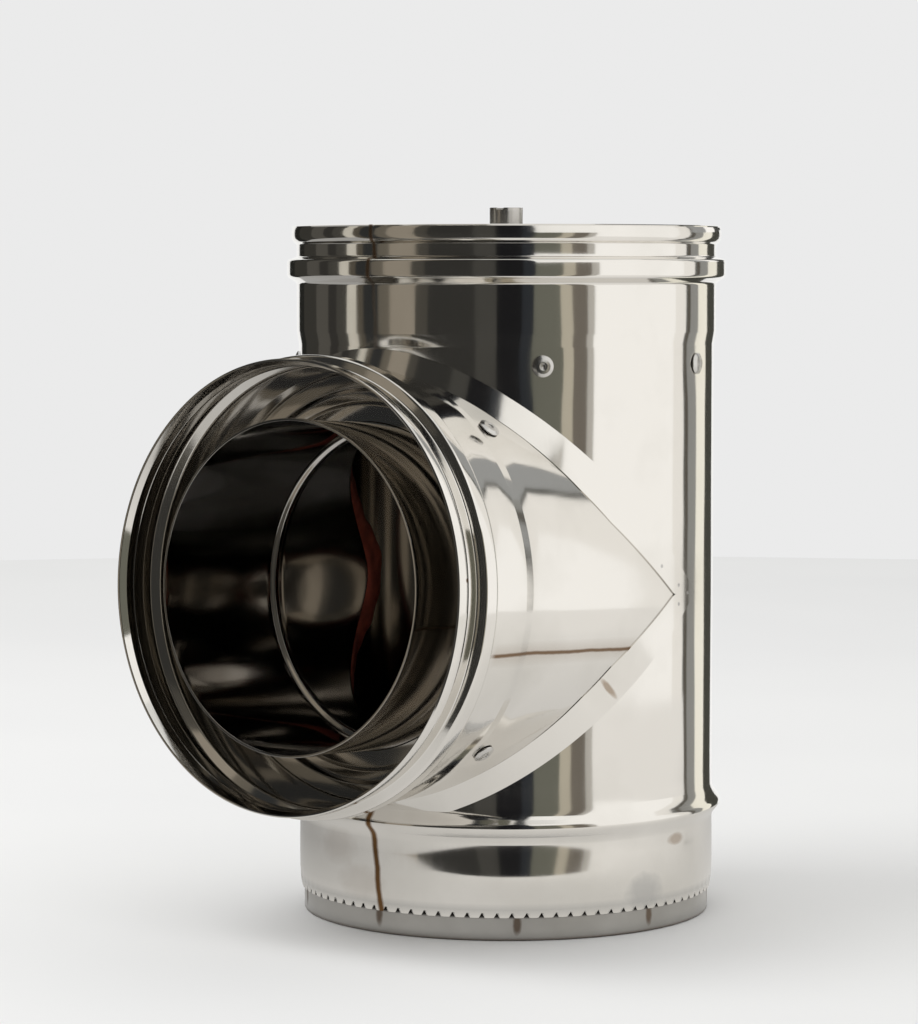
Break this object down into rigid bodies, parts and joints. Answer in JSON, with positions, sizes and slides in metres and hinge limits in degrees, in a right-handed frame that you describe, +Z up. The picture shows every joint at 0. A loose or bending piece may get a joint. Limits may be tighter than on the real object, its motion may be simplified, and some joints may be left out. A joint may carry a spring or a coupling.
{
  "type": "flue tee",
  "caption": "Twin wall stainless flue tee: insulated upright run, sloping side branch, beaded sockets, crimped male end and a drain spout in the top.",
  "frame": {"origin": "centre of the male end, on the plane that the tee stands on", "axes": "+Z up the run's axis, branch towards -Y, X across the branch"},
  "size_m": [0.2104, 0.2723, 0.337],
  "materials": {
    "bright_steel": "bright annealed",
    "liner_steel": "bright annealed",
    "dull_steel": "mill finish",
    "rivet_steel": "satin",
    "sealant": "cured high temperature sealant",
    "wool": "packed mineral wool"
  },
  "bodies": {
    "root": {"run_shell": "bright_steel", "branch_shell": "bright_steel", "saddle_flange": "bright_steel", "foot_ring": "dull_steel", "top_plate": "bright_steel", "branch_plate": "bright_steel", "run_liner": "liner_steel", "branch_liner": "liner_steel", "liner_sealant": "sealant", "run_wool": "wool", "branch_wool": "wool", "top_rivets": "rivet_steel", "branch_rivets": "rivet_steel", "drain_plug": "liner_steel", "drain_spout": "rivet_steel"}
  },
  "joints": []
}
